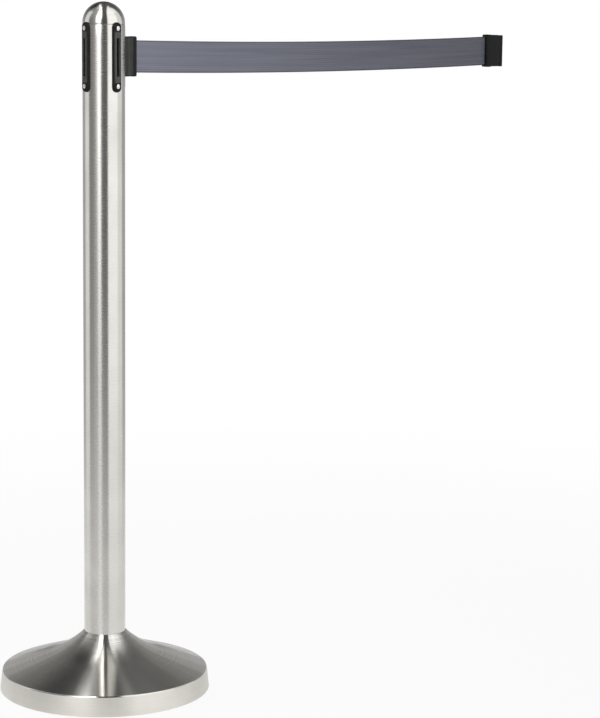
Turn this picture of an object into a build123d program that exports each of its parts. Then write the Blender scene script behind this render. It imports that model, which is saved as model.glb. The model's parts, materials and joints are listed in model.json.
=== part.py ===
from build123d import *
import math
import os

# A stainless queue pole with a belt that pulls out of its head. Millimetres, +Z up.
# The origin is on the floor at the pole's axis, and the belt leaves along +X.

# Pole
TUBE_R = 31.5
TUBE_WALL = 1.2
BORE_R = TUBE_R - TUBE_WALL
TUBE_FOOT_Z = 34.0
HEAD_Z = 965.0  # middle of the slots and of the belt
SEAM_Z = HEAD_Z + 48.0
SEAM_GAP = 0.3
CAP_CENTRE_Z = HEAD_Z + 49.7

# Base
FOOT_R = 160.3
FOOT_Z = 1.5
SHOULDER_R = 157.0
SHOULDER_Z = 31.6
SHOULDER_ROUND = 2.5
CONE_SLOPE = math.radians(19.2)
CONE_TOP_R = 87.3
FLARE_ARC_R = 145.0
COVER_THICK = 1.0
COVER_HOLE_R = TUBE_R + 0.3
WEIGHT_R = 151.5
WEIGHT_LOW = 3.0
WEIGHT_HIGH = 19.0
WEIGHT_RIM_R = 140.5
WEIGHT_RIM_HIGH = 32.2
HUB_R = 44.0
RING_IN_R = 128.0
RING_OUT_R = 140.0
RING_HIGH = 6.0
PLUG_HIGH = 52.0
BOLT_R = 6.0
BOLT_TOP = 50.0
BOLT_HEAD_LOW = 4.0
BOLT_HEAD_TALL = 7.5
BOLT_FLATS = 19.0
LOCK_WASHER_R = 10.4
LOCK_WASHER_TALL = 3.0
LOCK_WASHER_SPLIT = 1.6
WASHER_R = 12.0
WASHER_TALL = 2.5
COUNTERBORE_R = 16.0

# Cassette in the head
CORE_R = BORE_R - 0.2
CORE_LOW_BOTTOM = HEAD_Z - 49.0
CORE_LOW_TOP = HEAD_Z - 37.0
CORE_UP_BOTTOM = HEAD_Z + 37.0
CORE_UP_TOP = CAP_CENTRE_Z - 0.2
BOSS_R = 9.0
BOSS_TOP = HEAD_Z + 63.0
STUD_R = 4.0
STUD_LOW = HEAD_Z + 51.0
STUD_DISC_R = 12.0
STUD_DISC_TALL = 4.0
POST_RING_R = 25.0
POST_R = 3.0
POST_SCREW_R = 1.5
POST_SCREW_HEAD_R = 2.7
POST_SCREW_HEAD_TALL = 1.6
POST_SCREW_BITE = 8.0
SHAFT_R = 3.0
SHAFT_LOW = HEAD_Z - 77.0
SHAFT_TOP = HEAD_Z + 43.5
BUSH_R = 5.0
BUSH_FLANGE_R = 7.0
BUSH_FLANGE_TALL = 1.5
UPPER_BUSH_TOP = HEAD_Z + 44.0
SPOOL_CORE_R = 6.0
SPOOL_FLANGE_R = 20.0
SPOOL_FLANGE_TALL = 2.5
SPOOL_END_GAP = 0.5
WINDING_R = 15.9
BARREL_R = 23.5
BARREL_WALL = 1.5
BARREL_LOW = HEAD_Z - 79.0
BARREL_FLANGE_R = 29.5
BARREL_FLANGE_TALL = 2.0
LID_TALL = 1.5
LID_HOLE_R = 4.5
BARREL_SCREW_RING_R = 26.5
BARREL_SCREW_COUNT = 4
BARREL_SCREW_TURN = math.radians(22.5)
SPRING_LOW = HEAD_Z - 75.0
SPRING_HIGH = HEAD_Z - 53.0
SPRING_THICK = 0.5
SPRING_FIRST_R = 3.8
SPRING_PITCH = 1.7
SPRING_HALF_TURNS = 20

# Fits and cuts
LOOSE = 0.1
RUNNING = 0.05
CLEAR = 0.35
PAST = 1.0  # how far a cut runs past the face that it opens
TIP_ROOM = 1.0  # free hole beyond a screw's tip

# Belt
BELT_WIDE = 48.0
BELT_THICK = 0.5
BELT_SAG = 5.0
BELT_JOIN_X = 50.0
BELT_LEAD_GAP = 4.0  # from the reel to where the lead starts

# Slotted plates and the pockets behind them
PLATE_TALL = 102.6
PLATE_WIDE = 14.8
PLATE_FACE_X = 36.0
PLATE_BLANK_X = 29.0
PLATE_ROUND = 3.6
SLOT_TALL = 56.0
SLOT_WIDE = 5.0
WINDOW_MARGIN = 1.0
SOCKET_BACK_X = 21.3
SOCKET_MOUTH_X = 29.5
SOCKET_WIDE = 10.0
POCKET_BACK_X = 23.0
POCKET_DROP = 7.5  # room below the slot for a clip's hook to drop into
SCREW_RISE = 42.4  # from the middle of a plate to each of its screws
SCREW_R = 1.5
SCREW_HEAD_R = 3.3
SCREW_HEAD_SEAT_X = 34.8
SCREW_HEAD_EDGE_X = 36.3
SCREW_HEAD_TOP_X = 37.2
SCREW_TIP_X = 21.0
CROSS_WIDE = 0.9
CROSS_LONG = 3.6
CROSS_DEEP = 0.9
RECEIVER_TURNS = {"opposite": 180, "left": 90, "right": -90}
OUTLET_TURN = 0

# Roller carrier and outlet guide
ROLLER_X = 25.5
ROLLER_R = 2.5
ROLLER_TALL = 50.0
ROLLER_Y = ROLLER_R + CLEAR + BELT_THICK / 2
PIN_R = 1.0
PIN_TALL = 60.0
CARRIER_BACK_X = 22.5
CARRIER_FACE_X = 28.8
CARRIER_WIDE = 17.0
SNOUT_WIDE = 8.0
SNOUT_TALL = 55.6
SNOUT_END_X = 40.0
GUIDE_ROOT_X = 33.0
GUIDE_MOUTH_X = 58.0
GUIDE_NECK_WIDE = 11.0
GUIDE_NECK_TALL = 58.6
GUIDE_RIB_X = 41.0
GUIDE_RIB_LONG = 3.0
GUIDE_RIB_PROUD = 0.35
GUIDE_LIP_X = 50.3
GUIDE_LIP_WIDE = 12.0
GUIDE_LIP_TALL = 59.6
GUIDE_LIP_ROUND = 2.8
GUIDE_NECK_ROUND = 1.5
GUIDE_SLOT_WIDE = 2.2
GUIDE_SLOT_TALL = 51.0

# Clip on the belt's end
CLIP_X = 802.0
CLIP_LONG = 30.0
CLIP_LIP_LONG = 10.0
CLIP_LIP_WIDE = 14.0
CLIP_LIP_TALL = 54.7
CLIP_LIP_ROUND = 3.2
CLIP_BODY_WIDE = 12.4
CLIP_BODY_TALL = 53.2
CLIP_BODY_ROUND = 2.0
CLIP_END_X = CLIP_X + CLIP_LONG
CLIP_SLOT_WIDE = 1.6
CLIP_SLOT_TALL = 49.2
LOOP_ROOM_X = CLIP_X + 4.0
LOOP_ROOM_LONG = 13.0
LOOP_ROOM_WIDE = 6.4
LOOP_ROOM_TALL = 50.0
BELT_END_X = CLIP_X + 6.0
BELT_PIN_X = CLIP_X + 12.5
BELT_PIN_R = 1.8
BELT_PIN_TALL = 51.6
HOOK_ROOT_X = CLIP_X + 18.0
HOOK_ROOT_TALL = 36.0
HOOK_THICK = 4.0
HOOK_NECK_LONG = 6.0
HOOK_HEAD_LONG = 6.5
HOOK_TOP = 26.0
HOOK_NECK_LOW = -20.0
HOOK_HEAD_LOW = -27.0
HOOK_ROUND = 1.2
CLIP_SCREW_X = CLIP_X + 24.0
CLIP_SCREW_RISE = 11.0
CLIP_SCREW_R = 1.25
CLIP_SCREW_HEAD_R = 2.6
CLIP_SCREW_HEAD_LOW = 4.9  # from the clip's middle plane to the underside of the head
CLIP_SCREW_HEAD_TALL = 1.6
CLIP_SCREW_TIP = 4.6


# Shared shapes


def turned(outline):
    """Solid of revolution about the pole's axis, from a closed outline of (radius, height) points."""
    wire = Polyline(*[(r, 0, z) for r, z in outline], close=True)
    return revolve(make_face(wire), Axis.Z)


def ring(inner, outer, low, high, at=(0, 0)):
    """Upright ring, or a rod where inner is 0."""
    body = turned([(inner, low), (outer, low), (outer, high), (inner, high)])
    return Pos(at[0], at[1], 0) * body


def block(x0, x1, wide, low, high):
    """Upright box, even about the plane of the belt."""
    return Pos((x0 + x1) / 2, 0, (low + high) / 2) * Box(x1 - x0, wide, high - low)


def head_block(x0, x1, wide, tall):
    """Box even about the middle of the head's slots."""
    return block(x0, x1, wide, HEAD_Z - tall / 2, HEAD_Z + tall / 2)


def facing(turn, body):
    """The body turned about the pole's axis."""
    return Rot(0, 0, turn) * body


def along_x(body, z):
    """A body made along +Z from the origin, laid along +X at a height."""
    return Pos(0, 0, z) * (Rot(0, 90, 0) * body)


def bundle(solids):
    """Several separate solids as one piece."""
    return Compound(children=list(solids))


# Base


def floor_ring():
    return ring(RING_IN_R + LOOSE, RING_OUT_R - LOOSE, 0, RING_HIGH)


def base_weight():
    washers_top = BOLT_HEAD_LOW + BOLT_HEAD_TALL + LOCK_WASHER_TALL + WASHER_TALL
    body = turned([
        (0, WEIGHT_LOW), (RING_IN_R, WEIGHT_LOW), (RING_IN_R, RING_HIGH), (RING_OUT_R, RING_HIGH),
        (RING_OUT_R, WEIGHT_LOW), (WEIGHT_R, WEIGHT_LOW), (WEIGHT_R, WEIGHT_RIM_HIGH),
        (WEIGHT_RIM_R, WEIGHT_RIM_HIGH), (WEIGHT_RIM_R, WEIGHT_HIGH), (HUB_R, WEIGHT_HIGH),
        (HUB_R, TUBE_FOOT_Z), (0, TUBE_FOOT_Z),
    ])
    body -= ring(0, COUNTERBORE_R, 0, washers_top)
    return body - ring(0, BOLT_R + LOOSE, 0, TUBE_FOOT_Z + PAST)


def cover_body(inset, foot_z):
    """Everything under the cover's surface, moved in by inset: upright rim, straight cone, flared collar."""
    up = Vector(math.sin(CONE_SLOPE), 0, math.cos(CONE_SLOPE))
    shoulder = Vector(SHOULDER_R, 0, SHOULDER_Z)
    rim_run = Vector(FOOT_R, 0, FOOT_Z) - shoulder
    out = Vector(-rim_run.Z, 0, rim_run.X).normalized()
    corner = shoulder - (up + out) * (inset / (1 + up.dot(out)))
    foot = corner + rim_run * ((corner.Z - foot_z) / -rim_run.Z)
    cone_rise = (SHOULDER_R - CONE_TOP_R) * math.tan(CONE_SLOPE)
    cone_top = Vector(CONE_TOP_R, 0, SHOULDER_Z + cone_rise)
    centre = cone_top + up * FLARE_ARC_R
    arc_r = FLARE_ARC_R + inset
    flare_start = centre - up * arc_r

    def on_flare(radius):
        return Vector(radius, 0, centre.Z - math.sqrt(arc_r ** 2 - (centre.X - radius) ** 2))

    flare_top = on_flare(BORE_R)
    flare_middle = on_flare((BORE_R + CONE_TOP_R) / 2)
    outline = [
        Polyline((0, 0, foot_z), foot, corner, flare_start),
        ThreePointArc(flare_start, flare_middle, flare_top),
        Polyline(flare_top, (0, 0, flare_top.Z), (0, 0, foot_z)),
    ]
    return revolve(make_face(outline), Axis.Z)


def base_cover():
    solid = cover_body(0, FOOT_Z)
    shoulder_edge = solid.edges().filter_by(GeomType.CIRCLE).sort_by(lambda e: abs(e.radius - SHOULDER_R))[0]
    shell = fillet(shoulder_edge, SHOULDER_ROUND) - cover_body(COVER_THICK, 0)
    return shell - ring(0, COVER_HOLE_R, 0, HEAD_Z)


def tube_plug():
    return ring(BOLT_R + RUNNING, BORE_R - RUNNING, TUBE_FOOT_Z, PLUG_HIGH)


def base_bolt():
    head = Pos(0, 0, BOLT_HEAD_LOW) * extrude(
        RegularPolygon(BOLT_FLATS / 2, 6, major_radius=False), BOLT_HEAD_TALL)
    return head + ring(0, BOLT_R, BOLT_HEAD_LOW, BOLT_TOP)


def lock_washer():
    low = BOLT_HEAD_LOW + BOLT_HEAD_TALL
    body = ring(BOLT_R + LOOSE, LOCK_WASHER_R, low, low + LOCK_WASHER_TALL)
    return body - block(0, LOCK_WASHER_R + PAST, LOCK_WASHER_SPLIT, low - PAST, low + LOCK_WASHER_TALL + PAST)


def base_washer():
    low = BOLT_HEAD_LOW + BOLT_HEAD_TALL + LOCK_WASHER_TALL
    return ring(BOLT_R + LOOSE, WASHER_R, low, low + WASHER_TALL)


# Pole


def pole_tube():
    tube = ring(BORE_R, TUBE_R, TUBE_FOOT_Z, SEAM_Z)
    inside = BORE_R - PAST
    outside = TUBE_R + PAST
    slot = head_block(inside, outside, SLOT_WIDE + WINDOW_MARGIN, SLOT_TALL + 2 * WINDOW_MARGIN)
    outlet = head_block(inside, outside, SNOUT_WIDE + WINDOW_MARGIN, SNOUT_TALL + 2 * WINDOW_MARGIN)
    for turn in RECEIVER_TURNS.values():
        tube -= facing(turn, slot)
    tube -= facing(OUTLET_TURN, outlet)
    for hole in screw_holes(SCREW_R + LOOSE):
        tube -= hole
    return tube


def screw_places():
    """Turn and height of each plate screw."""
    turns = [OUTLET_TURN, *RECEIVER_TURNS.values()]
    return [(turn, HEAD_Z + side * SCREW_RISE) for turn in turns for side in (-1, 1)]


def screw_holes(radius):
    """Rods where the plate screws go through a piece."""
    rod = ring(0, radius, SCREW_TIP_X, SCREW_HEAD_TOP_X)
    return [facing(turn, along_x(rod, z)) for turn, z in screw_places()]


def dome_cap():
    def quarter(radius):
        lean = radius * math.sqrt(0.5)
        return ThreePointArc(
            (radius, 0, CAP_CENTRE_Z), (lean, 0, CAP_CENTRE_Z + lean), (0, 0, CAP_CENTRE_Z + radius))

    low = SEAM_Z + SEAM_GAP
    outline = [
        quarter(TUBE_R),
        Line((0, 0, CAP_CENTRE_Z + TUBE_R), (0, 0, CAP_CENTRE_Z + BORE_R)),
        quarter(BORE_R),
        Polyline((BORE_R, 0, CAP_CENTRE_Z), (BORE_R, 0, low), (TUBE_R, 0, low), (TUBE_R, 0, CAP_CENTRE_Z)),
    ]
    return revolve(make_face(outline), Axis.Z)


def cap_stud():
    disc_top = CAP_CENTRE_Z + math.sqrt((BORE_R - RUNNING) ** 2 - STUD_DISC_R ** 2)
    disc = ring(0, STUD_DISC_R, disc_top - STUD_DISC_TALL, disc_top)
    return disc + ring(0, STUD_R, STUD_LOW, disc_top)


# Cassette in the head


def post_places():
    reach = POST_RING_R * math.sqrt(0.5)
    return [(x * reach, y * reach) for x in (-1, 1) for y in (-1, 1)]


def drill_core(core):
    """Cuts the screw holes that both end plates have."""
    for hole in screw_holes(SCREW_R + RUNNING):
        core -= hole
    for place in post_places():
        core -= ring(0, POST_SCREW_R + LOOSE, CORE_LOW_BOTTOM - PAST, CORE_UP_TOP + PAST, place)
    return core


def barrel_screw_places():
    step = 2 * math.pi / BARREL_SCREW_COUNT
    turns = [BARREL_SCREW_TURN + i * step for i in range(BARREL_SCREW_COUNT)]
    return [(BARREL_SCREW_RING_R * math.cos(turn), BARREL_SCREW_RING_R * math.sin(turn)) for turn in turns]


def core_lower():
    core = drill_core(ring(BUSH_R + RUNNING, CORE_R, CORE_LOW_BOTTOM, CORE_LOW_TOP))
    head_top = CORE_LOW_BOTTOM + POST_SCREW_HEAD_TALL
    for place in post_places():
        core -= ring(0, POST_SCREW_HEAD_R + LOOSE, CORE_LOW_BOTTOM, head_top, place)
    for place in barrel_screw_places():
        core -= ring(0, POST_SCREW_R + RUNNING, CORE_LOW_BOTTOM, CORE_LOW_BOTTOM + POST_SCREW_BITE, place)
    return core


def core_upper():
    core = ring(0, CORE_R, CORE_UP_BOTTOM, CORE_UP_TOP) + ring(0, BOSS_R, CORE_UP_TOP, BOSS_TOP)
    core -= ring(0, BUSH_R + RUNNING, CORE_UP_BOTTOM, UPPER_BUSH_TOP)
    core -= ring(0, STUD_R + RUNNING, STUD_LOW - TIP_ROOM, BOSS_TOP)
    core = drill_core(core)
    for place in post_places():
        core -= ring(0, POST_SCREW_HEAD_R + LOOSE, CORE_UP_TOP - POST_SCREW_HEAD_TALL, CORE_UP_TOP, place)
    return core


def core_posts():
    tapped = POST_SCREW_R + RUNNING
    rod = ring(0, POST_R, CORE_LOW_TOP, CORE_UP_BOTTOM)
    rod -= ring(0, tapped, CORE_LOW_TOP, CORE_LOW_TOP + POST_SCREW_BITE)
    rod -= ring(0, tapped, CORE_UP_BOTTOM - POST_SCREW_BITE, CORE_UP_BOTTOM)
    return bundle(Pos(x, y, 0) * rod for x, y in post_places())


def pan_screw(head_end, tip_end, inward):
    """Upright screw with its head's outer face at head_end and its tip at tip_end."""
    head_inner = head_end + inward * POST_SCREW_HEAD_TALL
    low, high = sorted((head_end, head_inner))
    shank_low, shank_high = sorted((head_inner, tip_end))
    return ring(0, POST_SCREW_HEAD_R, low, high) + ring(0, POST_SCREW_R, shank_low, shank_high)


def post_screws():
    bite = POST_SCREW_BITE - TIP_ROOM
    lower = pan_screw(CORE_LOW_BOTTOM, CORE_LOW_TOP + bite, 1)
    upper = pan_screw(CORE_UP_TOP, CORE_UP_BOTTOM - bite, -1)
    return bundle(Pos(x, y, 0) * screw for x, y in post_places() for screw in (lower, upper))


def lower_bush():
    body = ring(SHAFT_R + RUNNING, BUSH_R, CORE_LOW_BOTTOM, CORE_LOW_TOP)
    return body + ring(SHAFT_R + RUNNING, BUSH_FLANGE_R, CORE_LOW_TOP, CORE_LOW_TOP + BUSH_FLANGE_TALL)


def upper_bush():
    body = ring(SHAFT_R + RUNNING, BUSH_R, CORE_UP_BOTTOM, UPPER_BUSH_TOP)
    return body + ring(SHAFT_R + RUNNING, BUSH_FLANGE_R, CORE_UP_BOTTOM - BUSH_FLANGE_TALL, CORE_UP_BOTTOM)


def spool_shaft():
    return ring(0, SHAFT_R, SHAFT_LOW, SHAFT_TOP)


def spool():
    low = CORE_LOW_TOP + BUSH_FLANGE_TALL + SPOOL_END_GAP
    high = CORE_UP_BOTTOM - BUSH_FLANGE_TALL - SPOOL_END_GAP
    belt_low = HEAD_Z - BELT_WIDE / 2 - SPOOL_END_GAP
    belt_high = HEAD_Z + BELT_WIDE / 2 + SPOOL_END_GAP
    body = ring(SHAFT_R, SPOOL_CORE_R, low, high)
    body += ring(SHAFT_R, SPOOL_FLANGE_R, belt_low - SPOOL_FLANGE_TALL, belt_low)
    return body + ring(SHAFT_R, SPOOL_FLANGE_R, belt_high, belt_high + SPOOL_FLANGE_TALL)


def belt_winding():
    return ring(SPOOL_CORE_R, WINDING_R, HEAD_Z - BELT_WIDE / 2, HEAD_Z + BELT_WIDE / 2)


# Spring motor under the cassette


def drill_barrel(body):
    for place in barrel_screw_places():
        body -= ring(0, POST_SCREW_R + LOOSE, BARREL_LOW, CORE_LOW_BOTTOM, place)
    return body


def spring_barrel():
    top = CORE_LOW_BOTTOM - LID_TALL
    cup = ring(0, BARREL_R, BARREL_LOW, top) + ring(0, BARREL_FLANGE_R, top - BARREL_FLANGE_TALL, top)
    return drill_barrel(cup - ring(0, BARREL_R - BARREL_WALL, BARREL_LOW + BARREL_WALL, top))


def spring_lid():
    return drill_barrel(ring(LID_HOLE_R, BARREL_FLANGE_R, CORE_LOW_BOTTOM - LID_TALL, CORE_LOW_BOTTOM))


def barrel_screws():
    head_low = CORE_LOW_BOTTOM - LID_TALL - BARREL_FLANGE_TALL - POST_SCREW_HEAD_TALL
    screw = pan_screw(head_low, CORE_LOW_BOTTOM + POST_SCREW_BITE - TIP_ROOM, 1)
    return bundle(Pos(x, y, 0) * screw for x, y in barrel_screw_places())


def power_spring():
    """Flat spiral of half-turn arcs, each a half pitch wider than the one before."""
    def side(offset):
        arcs = []
        for i in range(SPRING_HALF_TURNS):
            way = 1 if i % 2 == 0 else -1
            centre_x = -SPRING_PITCH / 4 if way > 0 else SPRING_PITCH / 4
            radius = SPRING_FIRST_R + i * SPRING_PITCH / 2 + offset
            arcs.append(ThreePointArc(
                (centre_x + way * radius, 0), (centre_x, way * radius), (centre_x - way * radius, 0)))
        return arcs

    inner = side(-SPRING_THICK / 2)
    outer = side(SPRING_THICK / 2)
    ends = [Line(inner[0] @ 0, outer[0] @ 0), Line(inner[-1] @ 1, outer[-1] @ 1)]
    strip = make_face([*inner, *outer, *ends])
    return Pos(0, 0, SPRING_LOW) * extrude(strip, SPRING_HIGH - SPRING_LOW)


# Outlet, rollers and receivers


def slotted_plate(opening_wide, opening_tall):
    """Long rounded plate seated on the tube, with an upright opening and two screw holes."""
    outline = Plane.YZ.offset(PLATE_BLANK_X) * SlotOverall(PLATE_TALL, PLATE_WIDE, rotation=90)
    plate = Pos(0, 0, HEAD_Z) * extrude(outline, PLATE_FACE_X - PLATE_BLANK_X)
    plate = fillet(plate.edges().group_by(Axis.X)[-1], PLATE_ROUND)
    plate -= ring(0, TUBE_R + RUNNING, HEAD_Z - PLATE_TALL, HEAD_Z + PLATE_TALL)
    plate -= head_block(PLATE_BLANK_X - PAST, PLATE_FACE_X + PAST, opening_wide, opening_tall)
    for side in (-1, 1):
        z = HEAD_Z + side * SCREW_RISE
        plate -= along_x(ring(0, SCREW_R + LOOSE, PLATE_BLANK_X, PLATE_FACE_X), z)
        plate -= along_x(ring(0, SCREW_HEAD_R + LOOSE, SCREW_HEAD_SEAT_X, PLATE_FACE_X + PAST), z)
    return plate


def receiver_plate(turn):
    return facing(turn, slotted_plate(SLOT_WIDE, SLOT_TALL))


def outlet_plate():
    opening_wide = GUIDE_NECK_WIDE + 2 * LOOSE
    opening_tall = GUIDE_NECK_TALL + 2 * LOOSE
    return facing(OUTLET_TURN, slotted_plate(opening_wide, opening_tall))


def receiver_socket(turn):
    """Moulded pocket behind a slot, held between the cassette's end plates."""
    body = block(SOCKET_BACK_X, SOCKET_MOUTH_X, SOCKET_WIDE, CORE_LOW_TOP, CORE_UP_BOTTOM)
    low = HEAD_Z - SLOT_TALL / 2 - POCKET_DROP
    high = HEAD_Z + SLOT_TALL / 2
    return facing(turn, body - block(POCKET_BACK_X, SOCKET_MOUTH_X + PAST, SLOT_WIDE, low, high))


def plate_screws():
    head = turned([
        (0, SCREW_HEAD_SEAT_X), (SCREW_HEAD_R, SCREW_HEAD_SEAT_X), (SCREW_HEAD_R, SCREW_HEAD_EDGE_X),
        (SCREW_HEAD_R / 2, SCREW_HEAD_TOP_X), (0, SCREW_HEAD_TOP_X),
    ])
    screw = head + ring(0, SCREW_R, SCREW_TIP_X + TIP_ROOM, SCREW_HEAD_SEAT_X)
    for turn in (0, 90):
        screw -= Pos(0, 0, SCREW_HEAD_TOP_X) * facing(turn, Box(CROSS_LONG, CROSS_WIDE, 2 * CROSS_DEEP))
    return bundle(facing(turn, along_x(screw, z)) for turn, z in screw_places())


def roller_carrier():
    """Moulded block behind the outlet that holds both rollers, with a snout out through the tube."""
    body = block(CARRIER_BACK_X, CARRIER_FACE_X, CARRIER_WIDE, CORE_LOW_TOP, CORE_UP_BOTTOM)
    body += head_block(CARRIER_FACE_X - PAST, SNOUT_END_X, SNOUT_WIDE, SNOUT_TALL)
    body -= head_block(CARRIER_BACK_X - PAST, SNOUT_END_X + PAST, GUIDE_SLOT_WIDE, GUIDE_SLOT_TALL)
    room = ROLLER_R + CLEAR
    low = HEAD_Z - GUIDE_SLOT_TALL / 2
    high = HEAD_Z + GUIDE_SLOT_TALL / 2
    for side in (-1, 1):
        at = (ROLLER_X, side * ROLLER_Y)
        entry = block(CARRIER_BACK_X - PAST, ROLLER_X, 2 * room, low, high)
        body -= ring(0, room, low, high, at)
        body -= Pos(0, side * ROLLER_Y, 0) * entry
        body -= ring(0, PIN_R + RUNNING, CORE_LOW_TOP, CORE_UP_BOTTOM, at)
    return body


def outlet_guide():
    """Black nose pushed over the carrier's snout, which the belt comes out of."""
    neck = head_block(GUIDE_ROOT_X, GUIDE_LIP_X + PAST, GUIDE_NECK_WIDE, GUIDE_NECK_TALL)
    neck = fillet(neck.edges().filter_by(Axis.X), GUIDE_NECK_ROUND)
    rib = head_block(GUIDE_RIB_X, GUIDE_RIB_X + GUIDE_RIB_LONG,
                     GUIDE_NECK_WIDE + 2 * GUIDE_RIB_PROUD, GUIDE_NECK_TALL + 2 * GUIDE_RIB_PROUD)
    rib = fillet(rib.edges().filter_by(Axis.X), GUIDE_NECK_ROUND)
    lip = head_block(GUIDE_LIP_X, GUIDE_MOUTH_X, GUIDE_LIP_WIDE, GUIDE_LIP_TALL)
    lip = fillet(lip.edges().filter_by(Axis.X) + lip.edges().group_by(Axis.X)[-1], GUIDE_LIP_ROUND)
    body = neck + rib + lip
    body -= head_block(GUIDE_ROOT_X - PAST, SNOUT_END_X + LOOSE,
                       SNOUT_WIDE + 2 * RUNNING, SNOUT_TALL + 2 * RUNNING)
    return body - head_block(SNOUT_END_X, GUIDE_MOUTH_X + PAST, GUIDE_SLOT_WIDE, GUIDE_SLOT_TALL)


def guide_roller(side):
    low = HEAD_Z - ROLLER_TALL / 2
    return ring(PIN_R + RUNNING, ROLLER_R, low, low + ROLLER_TALL, (ROLLER_X, side * ROLLER_Y))


def roller_pins():
    low = HEAD_Z - PIN_TALL / 2
    return bundle(ring(0, PIN_R, low, low + PIN_TALL, (ROLLER_X, side * ROLLER_Y)) for side in (-1, 1))


# Belt


def belt_lead():
    """From beside the reel, round the guide roller on the +Y side and out through the guide."""
    roller = Vector(ROLLER_X, ROLLER_Y)
    reel_r = WINDING_R + BELT_THICK / 2
    heading = math.atan2(ROLLER_Y, ROLLER_X) - math.asin((reel_r + ROLLER_Y) / roller.length)
    run = math.sqrt(roller.length ** 2 - (reel_r + ROLLER_Y) ** 2)
    start = run - BELT_LEAD_GAP

    def on_bend(angle, offset):
        return roller - Vector(-math.sin(angle), math.cos(angle)) * (ROLLER_Y - offset)

    def side(offset):
        bend = on_bend(heading, offset)
        first = bend - Vector(math.cos(heading), math.sin(heading)) * start
        last = on_bend(0, offset)
        return [Line(first, bend), ThreePointArc(bend, on_bend(heading / 2, offset), last),
                Line(last, (BELT_JOIN_X, last.Y))]

    left = side(BELT_THICK / 2)
    right = side(-BELT_THICK / 2)
    ends = [Line(left[0] @ 0, right[0] @ 0), Line(left[-1] @ 1, right[-1] @ 1)]
    strip = make_face([*left, *right, *ends])
    return Pos(0, 0, HEAD_Z - BELT_WIDE / 2) * extrude(strip, BELT_WIDE)


def belt():
    """Open stretch, hung edge up between the guide and the clip, with its sag."""
    def edge(z):
        middle = (BELT_JOIN_X + BELT_END_X) / 2
        return ThreePointArc((BELT_JOIN_X, 0, z), (middle, 0, z - BELT_SAG), (BELT_END_X, 0, z))

    low = edge(HEAD_Z - BELT_WIDE / 2)
    high = edge(HEAD_Z + BELT_WIDE / 2)
    outline = [low, high, Line(low @ 0, high @ 0), Line(low @ 1, high @ 1)]
    return extrude(make_face(outline), BELT_THICK / 2, both=True)


def belt_end():
    loop_r = BELT_PIN_R + LOOSE + BELT_THICK
    tail = head_block(BELT_END_X + CLEAR, BELT_PIN_X - BELT_PIN_R - LOOSE, BELT_THICK, BELT_WIDE)
    low = HEAD_Z - BELT_WIDE / 2
    return tail + ring(BELT_PIN_R + LOOSE, loop_r, low, low + BELT_WIDE, (BELT_PIN_X, 0))


# Clip on the belt's end


def clip_blank():
    """Both shells of the clip in one, with the room for the belt's loop and the hook's root."""
    lip = head_block(CLIP_X, CLIP_X + CLIP_LIP_LONG, CLIP_LIP_WIDE, CLIP_LIP_TALL)
    lip = fillet(lip.edges().filter_by(Axis.X) + lip.edges().group_by(Axis.X)[0], CLIP_LIP_ROUND)
    body = head_block(CLIP_X + CLIP_LIP_LONG / 2, CLIP_END_X, CLIP_BODY_WIDE, CLIP_BODY_TALL)
    body = fillet(body.edges().filter_by(Axis.X) + body.edges().group_by(Axis.X)[-1], CLIP_BODY_ROUND)
    blank = lip + body
    blank -= head_block(CLIP_X - PAST, LOOP_ROOM_X + PAST, CLIP_SLOT_WIDE, CLIP_SLOT_TALL)
    blank -= head_block(LOOP_ROOM_X, LOOP_ROOM_X + LOOP_ROOM_LONG, LOOP_ROOM_WIDE, LOOP_ROOM_TALL)
    blank -= head_block(HOOK_ROOT_X - LOOSE, CLIP_END_X + PAST,
                        HOOK_THICK + 2 * LOOSE, HOOK_ROOT_TALL + 2 * LOOSE)
    pin_low = HEAD_Z - BELT_PIN_TALL / 2 - LOOSE
    pin_high = HEAD_Z + BELT_PIN_TALL / 2 + LOOSE
    blank -= ring(0, BELT_PIN_R + RUNNING, pin_low, pin_high, (BELT_PIN_X, 0))
    for hole in clip_screw_bodies(LOOSE):
        blank -= hole
    return blank


def clip_screw_bodies(grow):
    """The clip's two screws along -Y, heads on the +Y side, or their holes where grow is not 0."""
    head_top = CLIP_BODY_WIDE / 2 + PAST if grow else CLIP_SCREW_HEAD_LOW + CLIP_SCREW_HEAD_TALL
    head = ring(0, CLIP_SCREW_HEAD_R + grow, CLIP_SCREW_HEAD_LOW, head_top)
    screw = head + ring(0, CLIP_SCREW_R + grow, -CLIP_SCREW_TIP - grow, CLIP_SCREW_HEAD_LOW)
    laid = Rot(-90, 0, 0) * screw
    return [Pos(CLIP_SCREW_X, 0, HEAD_Z + side * CLIP_SCREW_RISE) * laid for side in (-1, 1)]


def clip_shell(side):
    """One half of the clip, on the -Y or the +Y side of the belt."""
    half = head_block(CLIP_X - PAST, CLIP_END_X + PAST, CLIP_LIP_WIDE, 2 * CLIP_LIP_TALL)
    return clip_blank() & (Pos(0, side * CLIP_LIP_WIDE / 2, 0) * half)


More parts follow.
